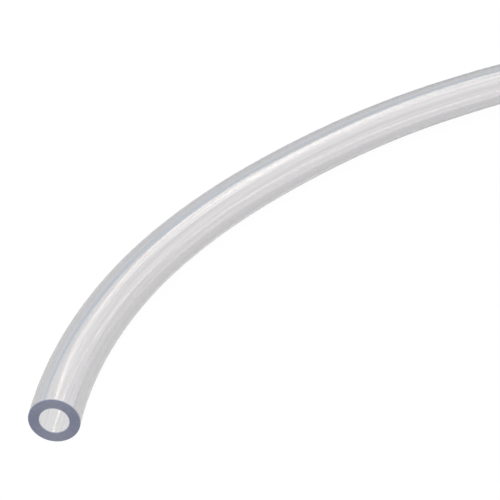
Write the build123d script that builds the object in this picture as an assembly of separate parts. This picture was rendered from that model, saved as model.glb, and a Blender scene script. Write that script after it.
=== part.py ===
from build123d import *
from math import ceil, cos, pi, radians, sin, tan
import os

# Flexible laboratory tubing: one extruded length of soft, clear tube with a plain round bore.
# One end lies free, in a long gentle curve, and the rest is wound into a neat round coil.
# Both ends are cut square. Everything lies on one flat surface.
#
# Frame, in millimetres: the origin is the centre of the free end's cut face, on the bore's axis.
# The tube leaves it along +Y, the surface that the tube lies on is level, and +Z is up.

# Section of the tube: 7/16 inch outside, 1/4 inch bore.
OUTER_DIAMETER = 11.11
BORE_DIAMETER = 6.35

# Whole length along the centreline: ten feet.
TUBE_LENGTH = 3050.0

# Route of the free stretch, seen from above. The first run is along +Y, so the free end is straight.
LEAD_POINTS = [
    (0.0, 0.0),
    (0.0, 18.0),
    (9.0, 53.5),
    (25.5, 85.5),
    (47.5, 114.5),
    (72.5, 140.0),
    (100.1, 160.5),
    (112.0, 166.7),
    (125.0, 169.6),
]

# The coil is wound clockwise, seen from above. Its first turn starts at its far side,
# where the tube passes along +X, a little way past the lead's last point.
COIL_RADIUS = 68.0
COIL_START_X = 172.0
TURN_GAP = 0.4
TURNS_IN_LAYER = 2
CORNERS_IN_TURN = 16
CLIMB_TURNS = 0.25

# An arc takes this share of the shorter run beside its corner.
ARC_SHARE = 0.45

outer_radius = OUTER_DIAMETER / 2
bore_radius = BORE_DIAMETER / 2
pitch = OUTER_DIAMETER + TURN_GAP
coil_centre = (COIL_START_X, LEAD_POINTS[-1][1] - COIL_RADIUS)


def layer_height(turn):
    """Height of the centreline after so many turns: a level for each layer, and an even climb between."""
    layer = int(turn / TURNS_IN_LAYER + 0.5)
    past_change = turn - layer * TURNS_IN_LAYER
    if layer == 0 or abs(past_change) > CLIMB_TURNS / 2:
        return pitch * int(turn / TURNS_IN_LAYER)
    return pitch * (layer - 0.5 + past_change / CLIMB_TURNS)


def winding_radius(turn):
    """Radius of the centreline after so many turns: inwards by a pitch a turn, and outwards in the next layer."""
    layer = int(turn / TURNS_IN_LAYER)
    along_layer = turn - layer * TURNS_IN_LAYER
    inwards = along_layer if layer % 2 == 0 else TURNS_IN_LAYER - along_layer
    return COIL_RADIUS - pitch * inwards


def winding_corner(turn, stand_out):
    """Point of the winding after so many turns, moved outwards by a factor."""
    angle = 2 * pi * turn
    radius = winding_radius(turn) * stand_out
    return Vector(
        coil_centre[0] + radius * sin(angle),
        coil_centre[1] + radius * cos(angle),
        layer_height(turn),
    )


def winding(turns):
    """Corners of a winding of so many turns, an even step apart, with the tube's end as the last one.

    Each corner stands out so that the middle of each run touches the winding's true radius.
    """
    count = ceil(turns * CORNERS_IN_TURN)
    step = turns / (count - 0.5)
    stand_out = 1 / cos(pi * step)
    return [winding_corner((k + 0.5) * step, stand_out) for k in range(count)]


def turn_angle(before, corner, after):
    """Angle in degrees through which the route turns at a corner."""
    return (corner - before).get_angle(after - corner)


def arc_radius(before, corner, after):
    """Radius of the largest arc that its two runs allow."""
    shorter_run = min((corner - before).length, (after - corner).length)
    return ARC_SHARE * shorter_run / tan(radians(turn_angle(before, corner, after)) / 2)


def rounded_length(points, radii):
    """Length of the route with an arc at each corner in place of the corner itself."""
    length = sum((b - a).length for a, b in zip(points, points[1:]))
    for before, corner, after, radius in zip(points, points[1:], points[2:], radii):
        half_turn = radians(turn_angle(before, corner, after)) / 2
        length -= 2 * radius * (tan(half_turn) - half_turn)
    return length


def corner_radii(points):
    """Radii of the arcs at all corners of the route."""
    return [arc_radius(*three) for three in zip(points, points[1:], points[2:])]


def route_of(turns):
    """The lead's points, then a winding of so many turns."""
    return [Vector(x, y, 0) for x, y in LEAD_POINTS] + winding(turns)


def turns_for_length(length):
    """Number of turns that makes the whole route this long, found by halving a range."""
    fewest, most = 1.0, length / (2 * pi * (COIL_RADIUS - pitch * TURNS_IN_LAYER))
    for _ in range(40):
        middle = (fewest + most) / 2
        points = route_of(middle)
        if rounded_length(points, corner_radii(points)) < length:
            fewest = middle
        else:
            most = middle
    return middle


def tube_along(points, radii):
    """Centreline through the points, and the hollow tube swept along it with both ends cut square."""
    centreline = FilletPolyline(*points, radius=radii)
    end_plane = Plane(origin=centreline @ 0, z_dir=centreline % 0)
    section = end_plane * (Circle(outer_radius) - Circle(bore_radius))
    return centreline, sweep(section, path=centreline)


turns = turns_for_length(TUBE_LENGTH)
route = route_of(turns)
radii = corner_radii(route)

# The tubing is one piece. It is modelled as two lengths that meet face to face, halfway along
# the run that leads into the winding: the free length, and the coil.
lead_count = len(LEAD_POINTS)
winding_start = (route[lead_count - 1] + route[lead_count]) / 2
lengths = {
    "free_length": tube_along([*route[:lead_count], winding_start], radii[: lead_count - 1]),
    "coil": tube_along([winding_start, *route[lead_count:]], radii[lead_count - 1 :]),
}

os.makedirs("parts", exist_ok=True)
section_area = pi * (outer_radius**2 - bore_radius**2)
for node, (centreline, tube) in lengths.items():
    export_step(tube, f"parts/{node}.step")
    print(f"{node}: length {centreline.length:.1f} mm, solids {len(tube.solids())}, valid {tube.is_valid}")
    print(f"  volume {tube.volume:.0f} mm3, section times length {section_area * centreline.length:.0f} mm3")

print(f"whole length {sum(line.length for line, _ in lengths.values()):.1f} mm, winding {turns:.3f} turns")
print("arc radii of the free length", [round(radius, 1) for radius in radii[: lead_count - 1]])
print(f"arc radii of the coil {min(radii[lead_count - 1 :]):.1f} to {max(radii[lead_count - 1 :]):.1f} mm")
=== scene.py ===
import math

import bpy
import numpy as np
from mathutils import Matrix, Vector


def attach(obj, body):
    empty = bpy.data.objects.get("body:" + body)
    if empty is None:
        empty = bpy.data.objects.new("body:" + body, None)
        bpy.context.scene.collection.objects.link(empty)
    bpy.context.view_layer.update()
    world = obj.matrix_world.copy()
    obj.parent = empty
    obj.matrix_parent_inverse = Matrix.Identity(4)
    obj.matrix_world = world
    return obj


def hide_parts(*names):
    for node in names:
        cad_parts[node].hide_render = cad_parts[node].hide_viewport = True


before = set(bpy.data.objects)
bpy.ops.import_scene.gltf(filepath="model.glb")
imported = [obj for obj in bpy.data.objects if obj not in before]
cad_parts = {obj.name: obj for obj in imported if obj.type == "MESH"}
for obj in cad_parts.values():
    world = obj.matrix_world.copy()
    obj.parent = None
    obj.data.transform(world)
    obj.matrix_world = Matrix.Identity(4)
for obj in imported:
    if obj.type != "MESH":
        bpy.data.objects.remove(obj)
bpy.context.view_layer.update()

# Tubing
#
# One length of clear, soft elastomer, extruded with a round bore and cut square at both ends with a blade.
# It lies loose on the table, its free end in a long gentle curve, and the rest wound into a neat coil of
# four layers, two turns wide.

MM = 0.001
OUTER_DIAMETER = 11.11 * MM
BORE_DIAMETER = 6.35 * MM

# The corners of the route are those of the solids' own, and COIL_TURNS is what the whole length allows.
LEAD_POINTS_MM = [
    (0.0, 0.0),
    (0.0, 18.0),
    (9.0, 53.5),
    (25.5, 85.5),
    (47.5, 114.5),
    (72.5, 140.0),
    (100.1, 160.5),
    (112.0, 166.7),
    (125.0, 169.6),
]
COIL_RADIUS = 68 * MM
COIL_START_X = 172 * MM
COIL_TURNS = 7.8405
TURN_GAP = 0.4 * MM
TURN_PITCH = OUTER_DIAMETER + TURN_GAP
TURNS_IN_LAYER = 2
CLIMB_TURNS = 0.25
CORNERS_IN_TURN = 16

outer_radius = OUTER_DIAMETER / 2
bore_radius = BORE_DIAMETER / 2


def layer_height(turn):
    """Height after so many turns: a level for each layer of turns, and an even climb between two levels."""
    nearest_change = np.floor(turn / TURNS_IN_LAYER + 0.5)
    past_change = turn - nearest_change * TURNS_IN_LAYER
    climbing = (nearest_change > 0) & (np.abs(past_change) <= CLIMB_TURNS / 2)
    climb = nearest_change - 0.5 + past_change / CLIMB_TURNS
    return TURN_PITCH * np.where(climbing, climb, np.floor(turn / TURNS_IN_LAYER))


def winding_radius(turn):
    """Radius after so many turns: a pitch less each turn in one layer, and a pitch more in the next."""
    layer, along_layer = np.divmod(turn, TURNS_IN_LAYER)
    inwards = np.where(layer % 2 == 0, along_layer, TURNS_IN_LAYER - along_layer)
    return COIL_RADIUS - TURN_PITCH * inwards


def winding(turns, centre_x, centre_y):
    """Corners of a winding of so many turns, an even step apart, clockwise from the coil's far side.

    A corner is at the angle 2 pi turn, and its radius is the winding's, divided by cos(pi step), so that the
    middle of each run touches the winding itself.
    """
    count = math.ceil(turns * CORNERS_IN_TURN)
    step = turns / (count - 0.5)
    turn = (np.arange(count) + 0.5) * step
    angle = 2 * math.pi * turn
    radius = winding_radius(turn) / math.cos(math.pi * step)
    return np.c_[centre_x + radius * np.sin(angle), centre_y + radius * np.cos(angle), layer_height(turn)]


def smooth_line(points, steps):
    """Points of a smooth line that has the given ones as the control points of a quadratic NURBS spline."""
    curve = bpy.data.curves.new("smooth_line", "CURVE")
    curve.dimensions = "3D"
    curve.resolution_u = steps
    spline = curve.splines.new("NURBS")
    spline.points.add(len(points) - 1)
    spline.points.foreach_set("co", np.c_[points, np.ones(len(points))].ravel())
    spline.order_u = 3
    spline.use_endpoint_u = True
    holder = bpy.data.objects.new("smooth_line", curve)
    line = bpy.data.meshes.new_from_object(holder)
    found = np.empty(len(line.vertices) * 3)
    line.vertices.foreach_get("co", found)
    bpy.data.objects.remove(holder)
    bpy.data.curves.remove(curve)
    bpy.data.meshes.remove(line)
    return found.reshape(-1, 3)


# The free length keeps every step of the spline, and the coil keeps fewer, which leaves its turns round.
STEPS_IN_RUN = 24
COIL_KEEPS_EVERY = 8

lead = np.c_[np.array(LEAD_POINTS_MM) * MM, np.zeros(len(LEAD_POINTS_MM))]
coil_corners = winding(COIL_TURNS, COIL_START_X, lead[-1, 1] - COIL_RADIUS)
all_steps = smooth_line(np.concatenate([lead, coil_corners]), STEPS_IN_RUN)
lead_steps = (len(lead) - 1) * STEPS_IN_RUN
centreline = np.concatenate(
    [all_steps[:lead_steps], all_steps[lead_steps:-1:COIL_KEEPS_EVERY], all_steps[-1:]]
)

# The blade leaves a crisp edge outside and at the bore, rounded by a hair.
POINTS_ROUND = 80
EDGE_ROUNDING = 0.1 * MM
EDGE_BAND = 0.3 * MM
ROUNDING_STEPS = 3
FACE_RINGS = 4


def cut_profile():
    """Depths below the cut and radii of the rings from the outer wall over the cut face to the bore's wall.

    Each edge is a quarter circle of radius EDGE_ROUNDING, and the face between them is flat. A ring on each
    wall, EDGE_BAND below the cut, keeps the shading of the walls straight up to the edges.
    """
    quarter = np.linspace(0, math.pi / 2, ROUNDING_STEPS + 1)
    depth = EDGE_ROUNDING * (1 - np.sin(quarter))
    inset = EDGE_ROUNDING * (1 - np.cos(quarter))
    flat = np.linspace(outer_radius - EDGE_ROUNDING, bore_radius + EDGE_ROUNDING, FACE_RINGS + 2)[1:-1]
    depths = np.concatenate([[EDGE_BAND], depth, np.zeros(FACE_RINGS), depth[::-1], [EDGE_BAND]])
    radii = np.concatenate(
        [[outer_radius], outer_radius - inset, flat, bore_radius + inset[::-1], [bore_radius]]
    )
    return depths, radii


def hollow_tube(name, line):
    """A hollow tube along a line, as one closed grid of rings.

    The rings go along the outer wall, over the far cut, back along the bore and over the near cut. A ring is
    centre + radius (cos a side + sin a up), where side is level and both are square to the line. Each vertex
    keeps the place that it has in the straightened tube: radius cos a, radius sin a and the length so far.
    The faces of both cuts, with their rounded edges, take the second material.
    """
    along = np.gradient(line, axis=0)
    along /= np.linalg.norm(along, axis=1)[:, None]
    side = np.cross(along, (0, 0, 1))
    side /= np.linalg.norm(side, axis=1)[:, None]
    up = np.cross(side, along)
    run = np.concatenate([[0], np.cumsum(np.linalg.norm(np.diff(line, axis=0), axis=1))])

    depths, radii = cut_profile()
    last = len(line) - 1
    inner = np.arange(1, last)
    on_wall = np.ones(len(inner))
    on_end = np.ones(len(depths), int)
    station = np.concatenate([inner, last * on_end, inner[::-1], 0 * on_end])
    shift = np.concatenate([0 * on_wall, -depths, 0 * on_wall, depths[::-1]])
    radius = np.concatenate([outer_radius * on_wall, radii, bore_radius * on_wall, radii[::-1]])

    angle = np.arange(POINTS_ROUND) * 2 * math.pi / POINTS_ROUND
    centre = line[station] + shift[:, None] * along[station]
    spoke = (
        np.cos(angle)[None, :, None] * side[station][:, None]
        + np.sin(angle)[None, :, None] * up[station][:, None]
    )
    places = centre[:, None] + radius[:, None, None] * spoke

    rings = len(station)
    ring, spot = np.indices((rings, POINTS_ROUND))
    next_spot = (spot + 1) % POINTS_ROUND
    here = ring * POINTS_ROUND
    there = (ring + 1) % rings * POINTS_ROUND
    faces = np.stack([here + spot, there + spot, there + next_spot, here + next_spot], axis=-1)
    mesh = bpy.data.meshes.new(name)
    mesh.from_pydata(places.reshape(-1, 3), [], faces.reshape(-1, 4).tolist())
    mesh.shade_smooth()

    straight = np.empty((rings, POINTS_ROUND, 3))
    straight[..., 0] = radius[:, None] * np.cos(angle)
    straight[..., 1] = radius[:, None] * np.sin(angle)
    straight[..., 2] = (run[station] + shift)[:, None]
    stored = mesh.attributes.new("straightened", "FLOAT_VECTOR", "POINT")
    stored.data.foreach_set("vector", straight.ravel())

    on_cut = np.isin(station, (0, last)) & (np.abs(shift) <= EDGE_ROUNDING)
    cut_face = on_cut & np.roll(on_cut, -1)
    mesh.polygons.foreach_set("material_index", np.repeat(cut_face.astype(int), POINTS_ROUND))
    tube = bpy.data.objects.new(name, mesh)
    bpy.context.collection.objects.link(tube)
    return tube


def linear(colour):
    """Linear RGBA of an sRGB hex colour: c / 12.92 up to 0.04045, and ((c + 0.055) / 1.055) ^ 2.4 above."""
    parts = [int(colour[k : k + 2], 16) / 255 for k in (0, 2, 4)]
    return [c / 12.92 if c <= 0.04045 else ((c + 0.055) / 1.055) ** 2.4 for c in parts] + [1.0]


def bare_tree(owner):
    """Node tree of a material or a world, with no nodes in it."""
    owner.use_nodes = True
    owner.node_tree.nodes.clear()
    return owner.node_tree


def node(tree, kind, inputs=(), **settings):
    """Add a node with its settings. Each input takes a plain value, or a link if it is given an output."""
    made = tree.nodes.new(kind)
    for key, value in settings.items():
        setattr(made, key, value)
    for socket, source in dict(inputs).items():
        if isinstance(source, bpy.types.NodeSocket):
            tree.links.new(source, made.inputs[socket])
        else:
            made.inputs[socket].default_value = source
    return made


# A Mix node has sockets of the same name for each type of data. These are its sockets for colours.
COLOUR_A = 6
COLOUR_B = 7
COLOUR_RESULT = 2

# The elastomer has the refractive index of silicone rubber, a little above 1.4.
ELASTOMER_IOR = 1.43

# Clear wall: transparent, and faintly milky with a hint of violet, so that about half of the light is left
# after 10 mm of it. It is glossy outside from the polished die, and a little duller in the bore. The die's
# lines run along it. Real ones are too fine to show, so they are drawn 0.7 mm apart.
OUTSIDE_ROUGHNESS = 0.06
BORE_ROUGHNESS = 0.09
DIE_LINES_PER_MM = 1.4
DIE_LINE_LENGTH = 500 * MM
DIE_LINE_DEPTH = 0.02 * MM
DIE_LINE_STRENGTH = 0.04
STREAK_COLOUR = "f6f4f5"
CLEAR_COLOUR = "ffffff"

# Noise lies mostly between 0.3 and 0.7. A pattern starts at its first level and is full at its second.
STREAK_LEVELS = (0.35, 0.65)

# The light that each metre takes away is this density times one minus this colour, which is linear.
MILKY_DENSITY = 85.0
MILKY_COLOUR = (0.206, 0.2, 0.212, 1.0)

wall = bpy.data.materials.new("clear_extruded_elastomer")
tree = bare_tree(wall)
straightened = node(tree, "ShaderNodeAttribute", attribute_name="straightened")
across = node(
    tree, "ShaderNodeVectorMath", {0: straightened.outputs["Vector"], 1: (1, 1, 0)}, operation="MULTIPLY"
)
from_axis = node(tree, "ShaderNodeVectorMath", {0: across.outputs["Vector"]}, operation="LENGTH")
dullness = node(
    tree,
    "ShaderNodeMapRange",
    {
        "Value": from_axis.outputs["Value"],
        "From Min": bore_radius,
        "From Max": outer_radius,
        "To Min": BORE_ROUGHNESS,
        "To Max": OUTSIDE_ROUGHNESS,
    },
)
stretched = node(
    tree,
    "ShaderNodeMapping",
    {
        "Vector": straightened.outputs["Vector"],
        "Scale": (DIE_LINES_PER_MM / MM, DIE_LINES_PER_MM / MM, 1 / DIE_LINE_LENGTH),
    },
)
die_lines = node(
    tree, "ShaderNodeTexNoise", {"Vector": stretched.outputs["Vector"], "Scale": 1.0, "Detail": 2.0}
)
die_relief = node(
    tree,
    "ShaderNodeBump",
    {"Height": die_lines.outputs["Fac"], "Strength": DIE_LINE_STRENGTH, "Distance": DIE_LINE_DEPTH},
)
streaks = node(
    tree,
    "ShaderNodeMapRange",
    {"Value": die_lines.outputs["Fac"], "From Min": STREAK_LEVELS[0], "From Max": STREAK_LEVELS[1]},
)
wall_colour = node(
    tree,
    "ShaderNodeMix",
    {
        "Factor": streaks.outputs["Result"],
        COLOUR_A: linear(STREAK_COLOUR),
        COLOUR_B: linear(CLEAR_COLOUR),
    },
    data_type="RGBA",
)
wall_shader = node(
    tree,
    "ShaderNodeBsdfPrincipled",
    {
        "Base Color": wall_colour.outputs[COLOUR_RESULT],
        "Normal": die_relief.outputs["Normal"],
        "Roughness": dullness.outputs["Result"],
        "IOR": ELASTOMER_IOR,
        "Transmission Weight": 1.0,
    },
)
milkiness = node(tree, "ShaderNodeVolumeAbsorption", {"Color": MILKY_COLOUR, "Density": MILKY_DENSITY})
node(
    tree,
    "ShaderNodeOutputMaterial",
    {"Surface": wall_shader.outputs["BSDF"], "Volume": milkiness.outputs["Volume"]},
)

# Blade-cut face: the same elastomer seen end on, where the eye looks along the wall and meets its violet
# tint. It is satin, with a mottle 0.9 mm wide and the blade's drag marks, which are 4 mm long and 0.2 mm
# apart. A pale rim at both edges is a painted highlight, standing in for light that the rounded edges catch.
# The tint is a little darker at the left and right than at the top.
CUT_ROUGHNESS = 0.4
TOP_COLOUR = "7e8191"
SIDE_COLOUR = "737689"
MOTTLES_PER_MM = 1.1
MOTTLE_LEVELS = (0.3, 0.7)
MOTTLE_SHARE = 0.07
DRAG_COLOUR = "b4b7c8"
DRAG_MARKS_PER_MM_ALONG = 0.26
DRAG_MARKS_PER_MM_ACROSS = 5.2
DRAG_SLANT = 0.33
DRAG_LEVELS = (0.62, 0.74)
DRAG_SHARE = 0.3
# The pale rim is a painted highlight on the rounded edges of the cut, not a colour of the elastomer.
PAINTED_RIM_HIGHLIGHT_COLOUR = "bac6da"
RIM_HIGHLIGHT_WIDTH = 0.16 * MM
RIM_HIGHLIGHT_SHARE = 0.7

half_wall = (outer_radius - bore_radius) / 2
middle_radius = (outer_radius + bore_radius) / 2

cut = bpy.data.materials.new("blade_cut_elastomer")
tree = bare_tree(cut)
straightened = node(tree, "ShaderNodeAttribute", attribute_name="straightened")
across = node(
    tree, "ShaderNodeVectorMath", {0: straightened.outputs["Vector"], 1: (1, 1, 0)}, operation="MULTIPLY"
)
outward = node(tree, "ShaderNodeVectorMath", {0: across.outputs["Vector"]}, operation="NORMALIZE")
outward_parts = node(tree, "ShaderNodeSeparateXYZ", {"Vector": outward.outputs["Vector"]})
sideways = node(
    tree,
    "ShaderNodeMath",
    {0: outward_parts.outputs["X"], 1: outward_parts.outputs["X"]},
    operation="MULTIPLY",
)
tint = node(
    tree,
    "ShaderNodeMix",
    {"Factor": sideways.outputs["Value"], COLOUR_A: linear(TOP_COLOUR), COLOUR_B: linear(SIDE_COLOUR)},
    data_type="RGBA",
)
mottle = node(
    tree,
    "ShaderNodeTexNoise",
    {"Vector": across.outputs["Vector"], "Scale": MOTTLES_PER_MM / MM, "Detail": 3.0},
)
brightness = node(
    tree,
    "ShaderNodeMapRange",
    {
        "Value": mottle.outputs["Fac"],
        "From Min": MOTTLE_LEVELS[0],
        "From Max": MOTTLE_LEVELS[1],
        "To Min": 1 - MOTTLE_SHARE,
        "To Max": 1 + MOTTLE_SHARE,
    },
)
mottled = node(
    tree,
    "ShaderNodeVectorMath",
    {0: tint.outputs[COLOUR_RESULT], "Scale": brightness.outputs["Result"]},
    operation="SCALE",
)
slanted = node(
    tree,
    "ShaderNodeMapping",
    {
        "Vector": across.outputs["Vector"],
        "Rotation": (0, 0, DRAG_SLANT),
        "Scale": (DRAG_MARKS_PER_MM_ALONG / MM, DRAG_MARKS_PER_MM_ACROSS / MM, 0),
    },
)
drag = node(tree, "ShaderNodeTexNoise", {"Vector": slanted.outputs["Vector"], "Scale": 1.0, "Detail": 2.0})
drag_marks = node(
    tree,
    "ShaderNodeMapRange",
    {
        "Value": drag.outputs["Fac"],
        "From Min": DRAG_LEVELS[0],
        "From Max": DRAG_LEVELS[1],
        "To Max": DRAG_SHARE,
    },
)
marked = node(
    tree,
    "ShaderNodeMix",
    {
        "Factor": drag_marks.outputs["Result"],
        COLOUR_A: mottled.outputs["Vector"],
        COLOUR_B: linear(DRAG_COLOUR),
    },
    data_type="RGBA",
)
# Painted highlight: a pale rim where the face meets the outer wall and the bore, mixed into the face's
# colour.
from_axis = node(tree, "ShaderNodeVectorMath", {0: across.outputs["Vector"]}, operation="LENGTH")
past_middle = node(
    tree, "ShaderNodeMath", {0: from_axis.outputs["Value"], 1: middle_radius}, operation="SUBTRACT"
)
off_middle = node(tree, "ShaderNodeMath", {0: past_middle.outputs["Value"]}, operation="ABSOLUTE")
rim_highlight_mask = node(
    tree,
    "ShaderNodeMapRange",
    {
        "Value": off_middle.outputs["Value"],
        "From Min": half_wall - RIM_HIGHLIGHT_WIDTH,
        "From Max": half_wall,
        "To Max": RIM_HIGHLIGHT_SHARE,
    },
)
with_rim_highlight = node(
    tree,
    "ShaderNodeMix",
    {
        "Factor": rim_highlight_mask.outputs["Result"],
        COLOUR_A: marked.outputs[COLOUR_RESULT],
        COLOUR_B: linear(PAINTED_RIM_HIGHLIGHT_COLOUR),
    },
    data_type="RGBA",
)
cut_shader = node(
    tree,
    "ShaderNodeBsdfPrincipled",
    {"Base Color": with_rim_highlight.outputs[COLOUR_RESULT], "Roughness": CUT_ROUGHNESS, "IOR": ELASTOMER_IOR},
)
node(tree, "ShaderNodeOutputMaterial", {"Surface": cut_shader.outputs["BSDF"]})

tubing = hollow_tube("tubing", centreline)
tubing.data.materials.append(wall)
tubing.data.materials.append(cut)
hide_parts("free_length", "coil")
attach(tubing, "root")

# Table top
#
# A wide, matt white top. It glows, so that it stays white to the eye and keeps only a faint shadow. Seen
# through the wall it glows more with each surface that a ray passes, in place of the light that the real,
# slightly milky wall scatters.

TABLE_SIDE = 6.0
TABLE_COLOUR = "f2f2f2"
TABLE_GLOW = 1.03
GLOW_THROUGH_WALL = 0.706
GLOW_PER_SURFACE = 0.125
SHADOW_SHARE = 0.06

table_white = bpy.data.materials.new("white_table")
tree = bare_tree(table_white)
matt = node(tree, "ShaderNodeBsdfDiffuse", {"Color": linear(TABLE_COLOUR)})
light_path = node(tree, "ShaderNodeLightPath")
surfaces_passed = light_path.outputs["Transmission Depth"]
through_wall = node(
    tree,
    "ShaderNodeMath",
    {0: surfaces_passed, 1: GLOW_PER_SURFACE, 2: GLOW_THROUGH_WALL},
    operation="MULTIPLY_ADD",
)
behind_wall = node(tree, "ShaderNodeMath", {0: surfaces_passed}, operation="GREATER_THAN")
glow_strength = node(
    tree,
    "ShaderNodeMix",
    {"Factor": behind_wall.outputs["Value"], "A": TABLE_GLOW, "B": through_wall.outputs["Value"]},
    data_type="FLOAT",
)
glow = node(tree, "ShaderNodeEmission", {"Strength": glow_strength.outputs["Result"]})
table_shader = node(
    tree,
    "ShaderNodeMixShader",
    {0: SHADOW_SHARE, 1: glow.outputs["Emission"], 2: matt.outputs["BSDF"]},
)
node(tree, "ShaderNodeOutputMaterial", {"Surface": table_shader.outputs["Shader"]})

bpy.ops.mesh.primitive_plane_add(size=TABLE_SIDE, location=(0, 0, -outer_radius))
table = bpy.context.object
table.name = "table"
table.data.materials.append(table_white)

# Light tent
#
# White cloth all round, lit from outside. It is white overhead, faintly warm lower down and bluer towards
# the horizon, and the camera sees it as plain white.

TENT_COLOURS = [(0.0, "e0effe"), (0.3, "e8eff6"), (0.6, "f4f2ef"), (1.0, "ffffff")]
TENT_SEEN = "ffffff"

world = bpy.data.worlds.new("light_tent")
bpy.context.scene.world = world
tree = bare_tree(world)
direction = node(tree, "ShaderNodeTexCoord")
direction_parts = node(tree, "ShaderNodeSeparateXYZ", {"Vector": direction.outputs["Generated"]})
tent = node(tree, "ShaderNodeValToRGB", {"Fac": direction_parts.outputs["Z"]})
for height, _ in TENT_COLOURS[1:-1]:
    tent.color_ramp.elements.new(height)
for stop, (_, colour) in zip(tent.color_ramp.elements, TENT_COLOURS):
    stop.color = linear(colour)
light_path = node(tree, "ShaderNodeLightPath")
seen_tent = node(
    tree,
    "ShaderNodeMix",
    {
        "Factor": light_path.outputs["Is Camera Ray"],
        COLOUR_A: tent.outputs["Color"],
        COLOUR_B: linear(TENT_SEEN),
    },
    data_type="RGBA",
)
background = node(tree, "ShaderNodeBackground", {"Color": seen_tent.outputs[COLOUR_RESULT]})
node(tree, "ShaderNodeOutputWorld", {"Surface": background.outputs["Background"]})

# Strip lamps
#
# Three strips in a bent row under the tent's roof, behind the tubing. The long bright line on the tubing is
# their reflection. The middle one is narrow, because the line is thinner there.

CEILING = 0.8
STRIP_POWER_PER_AREA = 15.0
STRIP_COLOUR = "fffaf2"


def strip_lamp(name, start, end, width):
    """A level strip lamp that faces down, from one point of the ceiling to another."""
    run = Vector(end) - Vector(start)
    lamp = bpy.data.lights.new(name, "AREA")
    lamp.shape = "RECTANGLE"
    lamp.size = run.length
    lamp.size_y = width
    lamp.energy = STRIP_POWER_PER_AREA * width * run.length
    lamp.color = linear(STRIP_COLOUR)[:3]
    holder = bpy.data.objects.new(name, lamp)
    bpy.context.collection.objects.link(holder)
    holder.location = (*((Vector(start) + Vector(end)) / 2), CEILING)
    holder.rotation_euler.z = math.atan2(run.y, run.x)


strip_lamp("strip_near", (-0.115, 1.0), (0.195, 0.9), 0.09)
strip_lamp("strip_middle", (0.195, 0.9), (0.345, 0.74), 0.035)
strip_lamp("strip_far", (0.345, 0.74), (0.55, 0.535), 0.1)

# Camera
#
# A long lens that looks down at the free end, from a little to the right of it.

CAMERA_PLACE = (59.67 * MM, -281.17 * MM, 224.01 * MM)
CAMERA_DOWN = math.radians(32.562)
CAMERA_LEFT = math.radians(3.803)
FOCAL_PIXELS = 1725.8
FRAME_PIXELS = 500
SENSOR_WIDTH_MM = 36
NEAREST_SEEN = 10 * MM

camera_data = bpy.data.cameras.new("camera")
camera_data.sensor_width = SENSOR_WIDTH_MM
camera_data.lens = FOCAL_PIXELS / FRAME_PIXELS * SENSOR_WIDTH_MM
camera_data.clip_start = NEAREST_SEEN
camera = bpy.data.objects.new("camera", camera_data)
bpy.context.collection.objects.link(camera)
camera.location = CAMERA_PLACE
camera.rotation_euler = (math.pi / 2 - CAMERA_DOWN, 0, CAMERA_LEFT)

scene = bpy.context.scene
scene.camera = camera
scene.view_settings.view_transform = "Standard"
